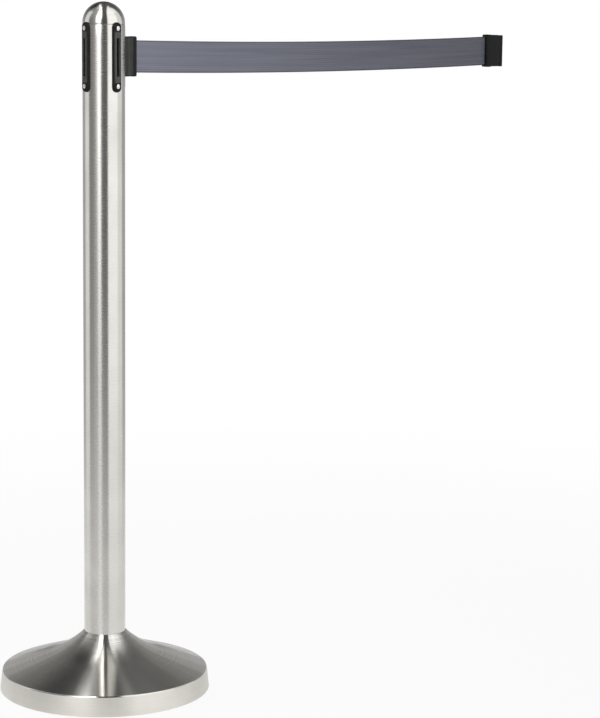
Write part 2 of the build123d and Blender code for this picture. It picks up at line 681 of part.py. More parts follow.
def clip_hook():
    """Flat tongue that drops into a receiver slot and catches behind its lower edge."""
    neck_x = CLIP_END_X
    head_x = neck_x + HOOK_NECK_LONG
    tip_x = head_x + HOOK_HEAD_LONG
    half = HOOK_ROOT_TALL / 2
    outline = [(HOOK_ROOT_X, -half), (neck_x, -half), (neck_x, HOOK_NECK_LOW), (head_x, HOOK_NECK_LOW),
               (head_x, HOOK_HEAD_LOW), (tip_x, HOOK_HEAD_LOW), (tip_x, HOOK_TOP), (neck_x, HOOK_TOP),
               (neck_x, half), (HOOK_ROOT_X, half)]
    wire = Polyline(*[(x, 0, HEAD_Z + z) for x, z in outline], close=True)
    plate = extrude(make_face(wire), HOOK_THICK / 2, both=True)
    plate = fillet(plate.edges().filter_by(Axis.Y).group_by(Axis.X)[-1], HOOK_ROUND)
    for hole in clip_screw_bodies(LOOSE):
        plate -= hole
    return plate


def belt_pin():
    low = HEAD_Z - BELT_PIN_TALL / 2
    return ring(0, BELT_PIN_R, low, low + BELT_PIN_TALL, (BELT_PIN_X, 0))


PIECES = {
    "floor_ring": floor_ring,
    "base_weight": base_weight,
    "base_cover": base_cover,
    "tube_plug": tube_plug,
    "base_bolt": base_bolt,
    "lock_washer": lock_washer,
    "base_washer": base_washer,
    "pole_tube": pole_tube,
    "dome_cap": dome_cap,
    "cap_stud": cap_stud,
    "core_lower": core_lower,
    "core_upper": core_upper,
    "core_posts": core_posts,
    "post_screws": post_screws,
    "lower_bush": lower_bush,
    "upper_bush": upper_bush,
    "spool_shaft": spool_shaft,
    "spool": spool,
    "belt_winding": belt_winding,
    "spring_barrel": spring_barrel,
    "spring_lid": spring_lid,
    "barrel_screws": barrel_screws,
    "power_spring": power_spring,
    "outlet_plate": outlet_plate,
    "roller_carrier": roller_carrier,
    "outlet_guide": outlet_guide,
    "guide_roller_a": lambda: guide_roller(1),
    "guide_roller_b": lambda: guide_roller(-1),
    "roller_pins": roller_pins,
    "plate_screws": plate_screws,
    "belt_lead": belt_lead,
    "belt": belt,
    "belt_end": belt_end,
    "clip_shell_front": lambda: clip_shell(-1),
    "clip_shell_back": lambda: clip_shell(1),
    "clip_hook": clip_hook,
    "clip_screws": lambda: bundle(clip_screw_bodies(0)),
    "belt_pin": belt_pin,
}

os.makedirs("parts", exist_ok=True)
for name, make in PIECES.items():
    export_step(make(), f"parts/{name}.step")
for name, turn in RECEIVER_TURNS.items():
    export_step(receiver_plate(turn), f"parts/receiver_plate_{name}.step")
    export_step(receiver_socket(turn), f"parts/receiver_socket_{name}.step")
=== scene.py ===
import json
import math
import bmesh
import bpy
from mathutils import Matrix, Vector
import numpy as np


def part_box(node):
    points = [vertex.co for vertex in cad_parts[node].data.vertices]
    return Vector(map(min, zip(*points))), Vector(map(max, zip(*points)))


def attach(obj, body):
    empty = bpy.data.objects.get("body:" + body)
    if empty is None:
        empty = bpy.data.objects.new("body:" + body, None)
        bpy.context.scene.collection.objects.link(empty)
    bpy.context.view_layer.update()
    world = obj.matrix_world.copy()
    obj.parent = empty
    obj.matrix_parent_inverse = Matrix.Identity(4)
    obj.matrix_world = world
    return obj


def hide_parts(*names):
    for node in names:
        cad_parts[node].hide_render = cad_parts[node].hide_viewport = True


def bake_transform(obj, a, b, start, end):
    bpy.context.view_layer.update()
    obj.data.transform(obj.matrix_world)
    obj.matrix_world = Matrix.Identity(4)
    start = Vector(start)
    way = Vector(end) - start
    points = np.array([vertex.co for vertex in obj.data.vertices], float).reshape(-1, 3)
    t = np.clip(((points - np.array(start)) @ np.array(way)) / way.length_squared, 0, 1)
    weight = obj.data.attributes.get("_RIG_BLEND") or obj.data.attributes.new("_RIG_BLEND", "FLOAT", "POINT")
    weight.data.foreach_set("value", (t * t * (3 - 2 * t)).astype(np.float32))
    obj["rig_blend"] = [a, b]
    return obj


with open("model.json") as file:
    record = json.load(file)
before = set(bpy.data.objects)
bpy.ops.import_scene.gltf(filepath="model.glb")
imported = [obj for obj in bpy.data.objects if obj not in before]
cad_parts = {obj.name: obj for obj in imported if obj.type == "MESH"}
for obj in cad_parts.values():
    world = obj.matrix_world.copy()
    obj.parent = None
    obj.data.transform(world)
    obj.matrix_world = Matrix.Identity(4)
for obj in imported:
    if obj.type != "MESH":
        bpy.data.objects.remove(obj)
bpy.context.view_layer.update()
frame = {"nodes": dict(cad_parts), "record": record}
scene = bpy.context.scene
scene.view_settings.view_transform = "Standard"
mm = 0.001  # pieces are shaped in millimetres and scaled to metres once, when they are finished
print("frame loaded:", len(frame["nodes"]), "nodes")

# The camera stands a little above the head
cameraSetup = dict(
    place=(-2.0758, -2.818, 1.0817),  # metres
    heading=48.78,  # degrees from +X towards +Y
    tilt=9.223,  # degrees below level
    roll=0.66,  # degrees, keeps the pole upright in the frame
    lens=117.28,  # on a 36 mm sensor
)
cameraData = bpy.data.cameras.new("camera")
cameraData.lens = cameraSetup["lens"]
camera = bpy.data.objects.new("camera", cameraData)
camera.matrix_world = (
    Matrix.Translation(cameraSetup["place"])
    @ Matrix.Rotation(math.radians(cameraSetup["heading"] - 90), 4, "Z")
    @ Matrix.Rotation(math.radians(90 - cameraSetup["tilt"]), 4, "X")
    @ Matrix.Rotation(math.radians(cameraSetup["roll"]), 4, "Z")
)
scene.collection.objects.link(camera)
scene.camera = camera
print("camera placed")


# Materials: colours are sRGB hex values, and sizes of patterns are in millimetres
waveRate = 20  # radians that a wave texture of scale 1 goes through in a metre
mixShare, mixFrom, mixTo, mixOut = 0, 6, 7, 2  # the Mix node's sockets for colours


def linear(hexCode):
    channels = [int(hexCode[i:i + 2], 16) / 255 for i in (1, 3, 5)]
    return [c / 12.92 if c <= 0.04045 else ((c + 0.055) / 1.055) ** 2.4 for c in channels] + [1]


def addNode(tree, kind, inputs, **settings):
    node = tree.nodes.new("ShaderNode" + kind)
    for key, value in settings.items():
        setattr(node, key, value)
    for key, value in inputs.items():
        if isinstance(value, bpy.types.NodeSocket):
            tree.links.new(value, node.inputs[key])
        else:
            node.inputs[key].default_value = value
    return node


def newMaterial(name, sockets):
    material = bpy.data.materials.new(name)
    material.use_nodes = True
    shader = material.node_tree.nodes["Principled BSDF"]
    for key, value in sockets.items():
        shader.inputs[key].default_value = value
    return material, material.node_tree, shader


def dress(tree, shader, colour, roughness, normal):
    tree.links.new(colour, shader.inputs["Base Color"])
    tree.links.new(roughness, shader.inputs["Roughness"])
    tree.links.new(normal, shader.inputs["Normal"])


def patches(size):
    return 1 / (size * mm)  # noise scale for patches about this many millimetres across


def bands(period):
    return 2 * math.pi / waveRate / (period * mm)  # wave scale for bands this many millimetres apart


# Stainless sheet, polished round and round, so its fine lines smear what it mirrors up and down while
# bands of light stay crisp from side to side. The real lines are about 0.1 mm apart, and are drawn
# coarser so that they show.
sheetLooks = {
    # the tube is belt polished, so its bands have soft edges
    "satinTubeSteel": dict(pale="#d6d4cf", dull="#c6c4bf", lineGap=0.7, smudge=70, rough=(0.22, 0.32),
                           depth=0.03, grain=0.85),
    # the dome is spun and polished finer, so its bands have sharper edges
    "spunDomeSteel": dict(pale="#d6d4cf", dull="#c6c4bf", lineGap=0.7, smudge=40, rough=(0.15, 0.23),
                          depth=0.03, grain=0.75),
    # the cover's lines are rings about the axis, and its smudges run outwards, sized at this reach
    "spunCoverSteel": dict(pale="#dad8d3", dull="#bab8b2", lineGap=1.6, smudge=22, rough=(0.14, 0.24),
                           depth=0.05, grain=1.0, reach=100),
    # the rim is ground, so it is duller and evenly pale
    "satinRimSteel": dict(pale="#dad8d1", dull="#cbc9c2", lineGap=0.9, smudge=60, rough=(0.44, 0.54),
                          depth=0.05, grain=0.4),
}
sheetWear = dict(
    smearTurn=0.25,  # a quarter turn, which lays the smear across the lines
    rough=(0.1, 0.45),  # the part of the worn pattern that roughness follows
    tint=(0.12, 0.4),  # and the part that colour follows
    lineDeep=0.1,
)


def polishedSheet(name, look):
    sockets = {"Metallic": 1.0, "Anisotropic": look["grain"],
               "Anisotropic Rotation": sheetWear["smearTurn"]}
    material, tree, shader = newMaterial(name, sockets)
    place = addNode(tree, "TexCoord", {}).outputs["Object"]
    across = addNode(tree, "SeparateXYZ", {0: place}).outputs["Z"]
    smudged = place
    if "reach" in look:
        flat = addNode(tree, "VectorMath", {0: place, 1: (1, 1, 0)}, operation="MULTIPLY").outputs[0]
        across = addNode(tree, "VectorMath", {0: flat}, operation="LENGTH").outputs["Value"]
        spoke = addNode(tree, "VectorMath", {0: flat}, operation="NORMALIZE").outputs[0]
        smudged = addNode(tree, "VectorMath", {0: spoke, "Scale": look["reach"] * mm},
                          operation="SCALE").outputs[0]
    lines = addNode(tree, "TexNoise", {"W": across, "Scale": patches(look["lineGap"]), "Detail": 4},
                    noise_dimensions="1D").outputs["Fac"]
    smudge = addNode(tree, "TexNoise", {"Vector": smudged, "Scale": patches(look["smudge"]),
                                        "Detail": 3}).outputs["Fac"]
    wearAndSheen = addNode(tree, "Math", {0: lines, 1: smudge}, operation="MULTIPLY").outputs[0]
    rough = addNode(tree, "MapRange", {
        "Value": wearAndSheen, "From Min": sheetWear["rough"][0], "From Max": sheetWear["rough"][1],
        "To Min": look["rough"][0], "To Max": look["rough"][1]})
    spread = addNode(tree, "MapRange", {
        "Value": wearAndSheen, "From Min": sheetWear["tint"][0], "From Max": sheetWear["tint"][1]}).outputs[0]
    tint = addNode(tree, "Mix", {mixShare: spread, mixFrom: linear(look["pale"]),
                                 mixTo: linear(look["dull"])}, data_type="RGBA")
    bump = addNode(tree, "Bump", {"Height": lines, "Strength": look["depth"],
                                  "Distance": sheetWear["lineDeep"] * mm})
    dress(tree, shader, tint.outputs[mixOut], rough.outputs[0], bump.outputs[0])
    return material


# Moulded, cast and turned finishes: a base tone broken up by slow patches, and a fine grain in the
# surface. The moulds' spark grain is about 0.2 mm and the turning marks finer still, so both are drawn
# coarser.
grainLooks = {
    # moulded nylon: satin black, with a painted reflection that turns its standing faces a dull grey
    "plateNylon": dict(pale="#151615", dull="#0e0f0e", paintedSheen="#4b4c48", rough=(0.4, 0.55), grain=0.8,
                       patch=14, depth=0.12, gloss=0.15),
    # moulded ABS: a closer, slightly shinier black, with the same painted reflection
    "blackAbs": dict(pale="#161717", dull="#0f1010", paintedSheen="#474845", rough=(0.38, 0.52), grain=0.7,
                     patch=12, depth=0.12, gloss=0.15),
    # ABS as it leaves the mould: dull and near black
    "coreAbs": dict(pale="#1d1e1e", dull="#151616", rough=(0.45, 0.6), grain=0.8, patch=16, depth=0.15),
    # natural acetal: milky and waxy
    "reelAcetal": dict(pale="#e4e1d8", dull="#d6d3ca", rough=(0.35, 0.5), grain=0.8, patch=16,
                       depth=0.1),
    # moulded rubber: matt, with hardly a highlight
    "mouldedRubber": dict(pale="#232323", dull="#181818", rough=(0.7, 0.85), grain=1.2, patch=20,
                          depth=0.3),
    # sand-cast iron under paint: dark, with the sand's lumps showing through
    "paintedIron": dict(pale="#3a3a3b", dull="#2b2b2c", rough=(0.5, 0.7), grain=2.5, patch=30,
                        depth=0.5),
    # bright zinc on steel: cool and a little cloudy
    "zincPlatedSteel": dict(pale="#c6c9cf", dull="#aeb1b8", rough=(0.25, 0.4), grain=1.0, patch=10,
                            depth=0.06, metallic=1.0),
    # polished stainless: small, sharp highlights
    "polishedScrewSteel": dict(pale="#eeede9", dull="#dddcd8", rough=(0.12, 0.24), grain=0.6, patch=5,
                               depth=0.03, metallic=1.0),
    # turned bronze: a warm, dull gold
    "turnedBronze": dict(pale="#c79a5c", dull="#a87d43", rough=(0.25, 0.4), grain=0.6, patch=6,
                         depth=0.06, metallic=1.0),
    # rolled spring steel, blued by heat: a dark, bluish shine
    "bluedSpringSteel": dict(pale="#5b6270", dull="#454b57", rough=(0.25, 0.38), grain=0.6, patch=8,
                             depth=0.05, metallic=1.0),
}
grainWear = dict(
    sheenPatch=(0.6, 0.7),  # how much the patches break up the painted reflection, and how much of it is left everywhere
    rough=(0.3, 0.7),  # the part of the patches that roughness follows
    grainDeep=0.15,
)


def grained(name, look):
    sockets = {"Metallic": look.get("metallic", 0.0), "Specular IOR Level": look.get("gloss", 0.5)}
    material, tree, shader = newMaterial(name, sockets)
    place = addNode(tree, "TexCoord", {}).outputs["Object"]
    slow = addNode(tree, "TexNoise", {"Vector": place, "Scale": patches(look["patch"]),
                                      "Detail": 3}).outputs["Fac"]
    grain = addNode(tree, "TexNoise", {"Vector": place, "Scale": patches(look["grain"]),
                                       "Detail": 2}).outputs["Fac"]
    tint = addNode(tree, "Mix", {mixShare: slow, mixFrom: linear(look["pale"]),
                                 mixTo: linear(look["dull"])}, data_type="RGBA")
    if "paintedSheen" in look:  # painted reflection: the standing faces are painted paler, broken up by the slow patches
        paintedSheen = addNode(tree, "Attribute", {}, attribute_name="paintedSheen").outputs["Fac"]
        patchedSheen = addNode(tree, "Math", {0: slow, 1: grainWear["sheenPatch"][0], 2: grainWear["sheenPatch"][1]},
                          operation="MULTIPLY_ADD").outputs[0]
        wearAndSheen = addNode(tree, "Math", {0: paintedSheen, 1: patchedSheen}, operation="MULTIPLY", use_clamp=True)
        tint = addNode(tree, "Mix", {mixShare: wearAndSheen.outputs[0], mixFrom: tint.outputs[mixOut],
                                     mixTo: linear(look["paintedSheen"])}, data_type="RGBA")
    rough = addNode(tree, "MapRange", {
        "Value": slow, "From Min": grainWear["rough"][0], "From Max": grainWear["rough"][1],
        "To Min": look["rough"][0], "To Max": look["rough"][1]})
    bump = addNode(tree, "Bump", {"Height": grain, "Strength": look["depth"],
                                  "Distance": grainWear["grainDeep"] * mm})
    dress(tree, shader, tint.outputs[mixOut], rough.outputs[0], bump.outputs[0])
    return material


# Woven polyester webbing: flat and slightly shiny, ribbed along its length with a twill across, and a
# tighter, darker selvedge. Its yarns are about 0.5 mm apart, and are drawn at 1.6 mm so that they show.
webbingLook = dict(
    pale="#7d7f8c",
    dull="#666874",
    selvedge="#4f515a",
    yarn=1.6,
    rib=3.2,
    streak=7.0,
    streakShare=0.03,  # scale of the streaks along the belt against across it, which draws them out
    weaveShare=0.5,  # weight of the weave beside the streaks
    tone=(0.35, 0.95),  # the part of both that colour follows
    edge=(21.8, 22.8),  # from the middle, where the selvedge's colour comes in
    rough=(0.55, 0.72),
    depth=0.35,
    weaveDeep=0.2,
    sheen=(0.25, 0.4),  # weight and roughness of the yarns' bloom
)


def wovenWebbing(name, look):
    sockets = {"Sheen Weight": look["sheen"][0], "Sheen Roughness": look["sheen"][1]}
    material, tree, shader = newMaterial(name, sockets)
    place = addNode(tree, "TexCoord", {}).outputs["Object"]
    along = addNode(tree, "SeparateXYZ", {0: place}).outputs["X"]
    # metres from the belt's middle
    across = addNode(tree, "Attribute", {}, attribute_name="acrossBelt").outputs["Fac"]
    cloth = addNode(tree, "CombineXYZ", {"X": along, "Y": across}).outputs[0]
    twill = addNode(tree, "TexWave", {"Vector": cloth, "Scale": bands(look["yarn"])},
                    bands_direction="DIAGONAL").outputs["Fac"]
    ribs = addNode(tree, "TexWave", {"Vector": cloth, "Scale": bands(look["rib"])},
                   bands_direction="Y").outputs["Fac"]
    stretched = addNode(tree, "VectorMath", {0: cloth, 1: (look["streakShare"], 1, 1)},
                        operation="MULTIPLY").outputs[0]
    streaks = addNode(tree, "TexNoise", {"Vector": stretched, "Scale": patches(look["streak"]),
                                         "Detail": 3}).outputs["Fac"]
    weave = addNode(tree, "Math", {0: twill, 1: ribs}, operation="MULTIPLY").outputs[0]
    shade = addNode(tree, "Math", {0: weave, 1: look["weaveShare"], 2: streaks},
                    operation="MULTIPLY_ADD").outputs[0]
    tone = addNode(tree, "MapRange", {"Value": shade, "From Min": look["tone"][0],
                                      "From Max": look["tone"][1]}).outputs[0]
    tint = addNode(tree, "Mix", {mixShare: tone, mixFrom: linear(look["dull"]),
                                 mixTo: linear(look["pale"])}, data_type="RGBA")
    fromMiddle = addNode(tree, "Math", {0: across}, operation="ABSOLUTE").outputs[0]
    edge = addNode(tree, "MapRange", {"Value": fromMiddle, "From Min": look["edge"][0] * mm,
                                      "From Max": look["edge"][1] * mm}).outputs[0]
    edged = addNode(tree, "Mix", {mixShare: edge, mixFrom: tint.outputs[mixOut],
                                  mixTo: linear(look["selvedge"])}, data_type="RGBA")
    rough = addNode(tree, "MapRange", {"Value": shade, "To Min": look["rough"][1],
                                       "To Max": look["rough"][0]})
    bump = addNode(tree, "Bump", {"Height": weave, "Strength": look["depth"],
                                  "Distance": look["weaveDeep"] * mm})
    dress(tree, shader, edged.outputs[mixOut], rough.outputs[0], bump.outputs[0])
    return material


finishes = {name: grained(name, look) for name, look in grainLooks.items()}
finishes.update({name: polishedSheet(name, look) for name, look in sheetLooks.items()})
finishes["wovenWebbing"] = wovenWebbing("wovenWebbing", webbingLook)

# The record's slot for each finish, which also dresses the solids inside the head and the base
slotFinish = {
    "brushed_stainless": "satinTubeSteel",
    "spun_stainless": "spunCoverSteel",
    "cast_iron": "paintedIron",
    "rubber": "mouldedRubber",
    "plated_steel": "zincPlatedSteel",
    "screw_steel": "polishedScrewSteel",
    "bronze": "turnedBronze",
    "core_plastic": "coreAbs",
    "reel_plastic": "reelAcetal",
    "spring_steel": "bluedSpringSteel",
    "plate_plastic": "plateNylon",
    "black_plastic": "blackAbs",
    "belt_webbing": "wovenWebbing",
}
for subpart in frame["record"]["subparts"]:
    solid = frame["nodes"][subpart["node"]].data
    solid.materials.clear()
    solid.materials.append(finishes[slotFinish[subpart["material_slot"]]])
print("materials made:", len(finishes))


# Shaping, in millimetres
near = 0.01  # for picking edges and points by their place
mergeGap = 0.002  # closer points become one
cornerSteps = 4  # segments in a moulding's corner
endSteps = 5  # and in its rounded end
sharpAngle = 32  # degrees, an edge that turns more than this stays crisp
acrossAxis = Vector((1, 0, 0))
upAxis = Vector((0, 1, 0))


def boxMm(node):
    low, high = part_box(node)
    return Vector(low) / mm, Vector(high) / mm


def addPath(bm, places):
    verts = [bm.verts.new(place) for place in places]
    for pair in zip(verts, verts[1:]):
        bm.edges.new(pair)
    return verts[-1]


def addProfile(bm, points):
    # a path through (radius, height) points
    return addPath(bm, [(radius, 0, height) for radius, height in points])


def addArc(bm, vert, centre, turn, steps):
    bmesh.ops.spin(bm, geom=[vert], cent=(centre[0], 0, centre[1]), axis=(0, -1, 0), angle=turn,
                   steps=steps)


def tidy(bm):
    bmesh.ops.remove_doubles(bm, verts=bm.verts, dist=mergeGap)
    bmesh.ops.recalc_face_normals(bm, faces=bm.faces)


def spinRound(bm, steps):
    bmesh.ops.spin(bm, geom=bm.verts[:] + bm.edges[:], cent=(0, 0, 0), axis=(0, 0, 1), angle=2 * math.pi,
                   steps=steps, use_merge=True)
    tidy(bm)


def soften(bm, geom, size, segments, affect="EDGES"):
    bmesh.ops.bevel(bm, geom=geom, offset=size, segments=segments, profile=0.5, affect=affect,
                    material=-1)


def thicken(bm, thick):
    bmesh.ops.solidify(bm, geom=bm.faces[:], thickness=thick)


def cutAt(bm, faces, point, normal):
    edges = {edge for face in faces for edge in face.edges}
    verts = {vert for face in faces for vert in face.verts}
    bmesh.ops.bisect_plane(bm, geom=[*verts, *edges, *faces], plane_co=point, plane_no=normal)


def pull(bm, geom, move):
    # extrudes faces, and gives the points and faces that moved
    made = bmesh.ops.extrude_face_region(bm, geom=geom)["geom"]
    verts = [item for item in made if isinstance(item, bmesh.types.BMVert)]
    bmesh.ops.translate(bm, verts=verts, vec=move)
    return verts, [item for item in made if isinstance(item, bmesh.types.BMFace)]


def pullEdges(bm, move):
    # extrudes a whole path into a strip
    made = bmesh.ops.extrude_edge_only(bm, edges=bm.edges[:])["geom"]
    verts = [item for item in made if isinstance(item, bmesh.types.BMVert)]
    bmesh.ops.translate(bm, verts=verts, vec=move)


def steppedBar(stations, cornerRound):
    # a bar with rounded corners that goes through stations of (distance out, width, height)
    bm = bmesh.new()
    out, wide, tall = stations[0]
    corners = [bm.verts.new((x * wide / 2, y * tall / 2, out))
               for x, y in ((-1, -1), (1, -1), (1, 1), (-1, 1))]
    bm.faces.new(corners)
    soften(bm, corners, cornerRound, cornerSteps, "VERTICES")
    end = bm.faces[:][0]
    for before, after in zip(stations, stations[1:]):
        verts, faces = pull(bm, [end, *end.edges], (0, 0, after[0] - before[0]))
        bmesh.ops.scale(bm, verts=verts, vec=(after[1] / before[1], after[2] / before[2], 1))
        end = faces[0]
    tidy(bm)
    return bm


def roundedEnd(out, wide, tall, radius, away):
    # stations of a quarter round that ends at a distance out, on a bar that points away along +1 or -1
    stations = []
    for step in range(endSteps + 1):
        turn = math.pi / 2 * step / endSteps
        inset = 2 * radius * (1 - math.cos(turn))
        stations.append((out - away * radius * (1 - math.sin(turn)), wide - inset, tall - inset))
    return stations


headLow, headHigh = boxMm("receiver_plate_right")
headZ = (headLow.z + headHigh.z) / 2  # middle of the slots and of the belt
# Across, up and out become +Y, +Z and +X
outward = Matrix(((0, 0, 1, 0), (1, 0, 0, 0), (0, 1, 0, 0), (0, 0, 0, 1)))


def atHead(turn):
    # for a piece shaped as across, up and out, on the side of the head at this turn about the axis
    return Matrix.Translation((0, 0, headZ)) @ Matrix.Rotation(math.radians(turn), 4, "Z") @ outward


def paintSheen(bm, share):
    # how much painted reflection each point takes, from 0 to 1, worked out from its place
    layer = bm.verts.layers.float.new("paintedSheen")
    for vert in bm.verts:
        vert[layer] = min(max(share(vert.co), 0), 1)


def addPiece(name, bm, slot, nodes, body=None, place=None):
    if place is not None:
        bmesh.ops.transform(bm, matrix=place, verts=bm.verts)
    bmesh.ops.scale(bm, verts=bm.verts, vec=(mm, mm, mm))
    mesh = bpy.data.meshes.new(name)
    bm.to_mesh(mesh)
    bm.free()
    mesh.materials.append(finishes[slotFinish[slot]])
    mesh.shade_smooth()
    mesh.set_sharp_from_angle(angle=math.radians(sharpAngle))
    piece = bpy.data.objects.new(name, mesh)
    scene.collection.objects.link(piece)
    if body:
        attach(piece, body)
    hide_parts(*nodes)
    return piece


# Belt, first of the pieces because it sets how far the object reaches
beltLow, beltHigh = boxMm("belt")
belt = dict(
    start=beltLow.x,
    end=beltHigh.x,
    wide=48.0,
    thick=0.5,
    sag=5.0,
    selvedge=1.6,  # width of the tighter edge
    selvedgeThick=0.75,
    steps=150,
)
beltFoot = headZ - belt["wide"] / 2


def hungBelt(size):
    half = (size["end"] - size["start"]) / 2
    radius = (half ** 2 + size["sag"] ** 2) / (2 * size["sag"])
    centre = Vector((size["start"] + half, 0, headZ - size["sag"] + radius))
    edge = size["wide"] / 2
    ribs = [-edge, size["selvedge"] - edge, -edge / 2, 0, edge / 2, edge - size["selvedge"], edge]
    bm = bmesh.new()
    addProfile(bm, [(size["start"], headZ + rib) for rib in ribs])
    bmesh.ops.spin(bm, geom=bm.verts[:] + bm.edges[:], cent=centre, axis=(0, -1, 0),
                   angle=2 * math.asin(half / radius), steps=size["steps"])
    tidy(bm)
    thicken(bm, size["thick"])
    middle = sum(vert.co.y for vert in bm.verts) / len(bm.verts)
    bmesh.ops.translate(bm, verts=bm.verts, vec=(0, -middle, 0))
    across = bm.verts.layers.float.new("acrossBelt")
    swell = size["selvedgeThick"] / size["thick"]
    for vert in bm.verts:
        rise = radius - (vert.co - centre).length
        vert[across] = rise * mm
        if abs(rise) > edge - size["selvedge"] / 2:
            vert.co.y *= swell
    return bm


beltPiece = addPiece("beltWeb", hungBelt(belt), "belt_webbing", ["belt"])
beltEnds = [Vector((belt[end] * mm, 0, headZ * mm)) for end in ("start", "end")]
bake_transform(beltPiece, "pole", "belt_clip", start=beltEnds[0], end=beltEnds[1])
# The belt is drawn off the reel evenly, so each point takes its plain share of the pull
beltReach = beltEnds[1].x - beltEnds[0].x
for vert, weight in zip(beltPiece.data.vertices, beltPiece.data.attributes["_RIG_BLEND"].data):
    weight.value = min(max((vert.co.x - beltEnds[0].x) / beltReach, 0), 1)

# The turns that are left on the reel, the stretch behind the outlet, and the loop round the clip's pin
rollLow, rollHigh = boxMm("belt_winding")
roll = dict(core=6.0, outer=rollHigh.x, low=rollLow.z, high=rollHigh.z, steps=64)
lead = dict(reel=(13.72, 9.41), bend=(24.32, 0.0), mouth=(belt["start"], 0.0))  # (x, y) on its way out
loopLow, loopHigh = boxMm("belt_end")
loop = dict(tail=loopLow.x, end=loopHigh.x, radius=(loopHigh.y - loopLow.y) / 2, steps=24)


def woundRoll(size):
    bm = bmesh.new()
    section = [(size["core"], size["low"]), (size["outer"], size["low"]),
               (size["outer"], size["high"]), (size["core"], size["high"])]
    addProfile(bm, section + section[:1])
    spinRound(bm, size["steps"])
    return bm


def uprightWeb(bm):
    # webbing as wide and thick as the belt, on a path along its lower edge
    pullEdges(bm, (0, 0, belt["wide"]))
    tidy(bm)
    thicken(bm, belt["thick"])
    return bm


def leadWeb(size):
    bm = bmesh.new()
    addPath(bm, [(*size[spot], beltFoot) for spot in ("reel", "bend", "mouth")])
    return uprightWeb(bm)


def sewnLoop(size):
    radius = size["radius"]
    centre = Vector((size["end"] - radius, 0, beltFoot))
    bm = bmesh.new()
    first = addPath(bm, [(size["tail"], 0, beltFoot), centre - Vector((radius, 0, 0))])
    turn = 2 * math.pi - 2 * belt["thick"] / radius  # comes round to the tail, and stops short of it
    bmesh.ops.spin(bm, geom=[first], cent=centre, axis=(0, 0, 1), angle=turn, steps=size["steps"])
    return uprightWeb(bm)


rollPiece = addPiece("beltRoll", woundRoll(roll), "belt_webbing", ["belt_winding"], "spool")
leadPiece = addPiece("beltLead", leadWeb(lead), "belt_webbing", ["belt_lead"], "pole")
loopPiece = addPiece("beltLoop", sewnLoop(loop), "belt_webbing", ["belt_end"], "belt_clip")
print("belt hung")


# Base cover: spun from sheet, with an upright rim, a straight cone and a collar flared up to the tube
coverLow, coverHigh = boxMm("base_cover")
cover = dict(
    foot=(coverHigh.x, coverLow.z),
    shoulder=(coverHigh.x - 3.3, 31.6),  # the rim leans out from here to the foot
    shoulderRound=2.5,
    shoulderSteps=4,
    slope=19.2,  # degrees
    coneTop=87.3,
    flare=145.0,
    flareSteps=14,
    hole=32.3,  # leaves a fine dark joint round the tube
    wall=1.0,
    steps=256,
)


def spunCover(size):
    bm = bmesh.new()
    radius, height = size["shoulder"]
    slope = math.radians(size["slope"])
    top = (size["coneTop"], height + (radius - size["coneTop"]) * math.tan(slope))
    centre = (top[0] + size["flare"] * math.sin(slope), top[1] + size["flare"] * math.cos(slope))
    coneEnd = addProfile(bm, [size["foot"], size["shoulder"], top])
    lean = math.asin((centre[0] - size["hole"]) / size["flare"])
    addArc(bm, coneEnd, centre, slope - lean, size["flareSteps"])
    spinRound(bm, size["steps"])
    ring = [edge for edge in bm.edges if all(abs(vert.co.z - height) < near for vert in edge.verts)]
    rimLean = math.atan2(size["foot"][0] - radius, height - size["foot"][1])
    turn = math.pi / 2 - rimLean - slope
    soften(bm, ring, size["shoulderRound"] * math.tan(turn / 2), size["shoulderSteps"])
    bmesh.ops.recalc_face_normals(bm, faces=bm.faces)
    thicken(bm, size["wall"])
    for face in bm.faces:  # the rim takes the second finish
        face.material_index = int(face.calc_center_median().z < height - size["shoulderRound"])
    return bm


coverPiece = addPiece("baseCover", spunCover(cover), "spun_stainless", ["base_cover"], "pole")
coverPiece.data.materials.append(finishes["satinRimSteel"])
print("base cover spun")


# Pole: the tube with a window behind each plate, and the domed cap above its seam
tubeLow, tubeHigh = boxMm("pole_tube")
domeLow, domeHigh = boxMm("dome_cap")
pole = dict(
    radius=tubeHigh.x,
    wall=1.2,
    foot=tubeLow.z,
    seam=tubeHigh.z,
    windowTall=58.0,
    windowWide={0: 9.0, 90: 6.0, 180: 6.0, 270: 6.0},  # by the side's turn about the axis
    windowSide=0.9,  # share of the radius beyond which a face is on the window's side
    edgeRound=0.25,
    edgeSteps=2,
    rimGap=0.05,  # how near to the radius a rim's points are
    steps=240,
    domeLow=domeLow.z,
    domeTop=domeHigh.z,
    domeSteps=40,
)


def easeRim(bm, size, height):
    rim = [edge for edge in bm.edges if all(
        abs(vert.co.z - height) < near and abs(vert.co.xy.length - size["radius"]) < size["rimGap"]
        for vert in edge.verts)]
    soften(bm, rim, size["edgeRound"], size["edgeSteps"])


def facesBetween(bm, low, high):
    spots = [(face, face.calc_center_median()) for face in bm.faces]
    return [(face, spot) for face, spot in spots if low < spot.z < high]


def windowedTube(size):
    low = headZ - size["windowTall"] / 2
    high = headZ + size["windowTall"] / 2
    bm = bmesh.new()
    addProfile(bm, [(size["radius"], z) for z in (size["foot"], low, high, size["seam"])])
    spinRound(bm, size["steps"])
    for turn, wide in size["windowWide"].items():
        out = Vector((math.cos(math.radians(turn)), math.sin(math.radians(turn)), 0))
        side = Vector((-out.y, out.x, 0))
        for way in (-1, 1):
            band = [face for face, spot in facesBetween(bm, low, high)
                    if spot.dot(out) > size["radius"] * size["windowSide"]]
            cutAt(bm, band, side * wide / 2 * way, side)
        gone = [face for face, spot in facesBetween(bm, low, high)
                if spot.dot(out) > 0 and abs(spot.dot(side)) < wide / 2]
        bmesh.ops.delete(bm, geom=gone, context="FACES")
    thicken(bm, size["wall"])
    easeRim(bm, size, size["seam"])
    return bm


